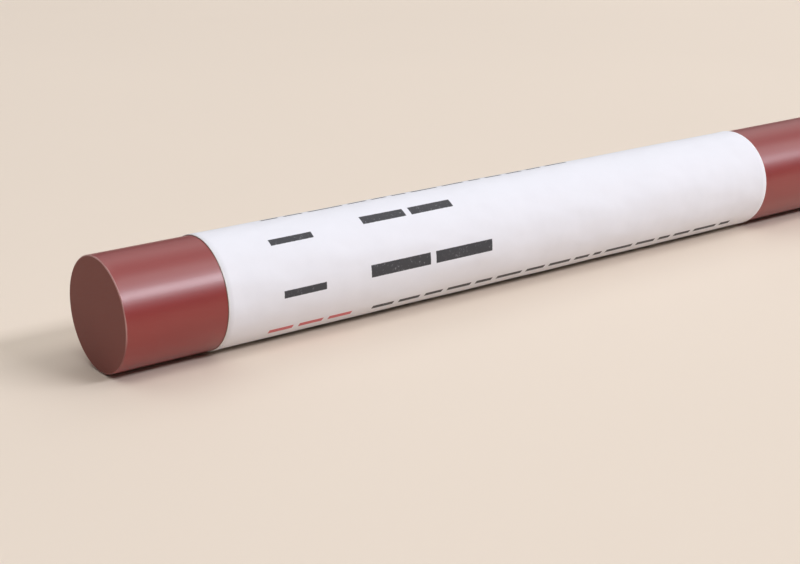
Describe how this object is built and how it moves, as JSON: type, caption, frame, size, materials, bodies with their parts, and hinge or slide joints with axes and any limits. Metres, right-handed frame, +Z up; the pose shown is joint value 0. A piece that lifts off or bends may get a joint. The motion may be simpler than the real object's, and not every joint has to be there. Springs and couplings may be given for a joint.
{
  "type": "furniture repair wax stick",
  "caption": "Round stick of reddish brown filler wax, cut square at both ends, with a white self-adhesive paper label wound round its middle; rubbed or melted into scratches in furniture.",
  "frame": {"origin": "on the surface that the stick lies on, under the middle of its length", "axes": "+X along the stick, from the end that is bare for the shorter length to the other end; +Z up, away from the surface; +Y to the back, where the label's lap is"},
  "size_m": [0.11, 0.0122, 0.0122],
  "materials": {
    "wax": "smooth satin pigmented wax, duller on the cut ends",
    "adhesive": "soft tacky acrylic coat, seen only as a line at the label's edges",
    "paper": "semi-gloss coated label paper"
  },
  "bodies": {
    "root": {"wax_stick": "wax", "label_adhesive": "adhesive", "label_paper": "paper"}
  },
  "joints": []
}
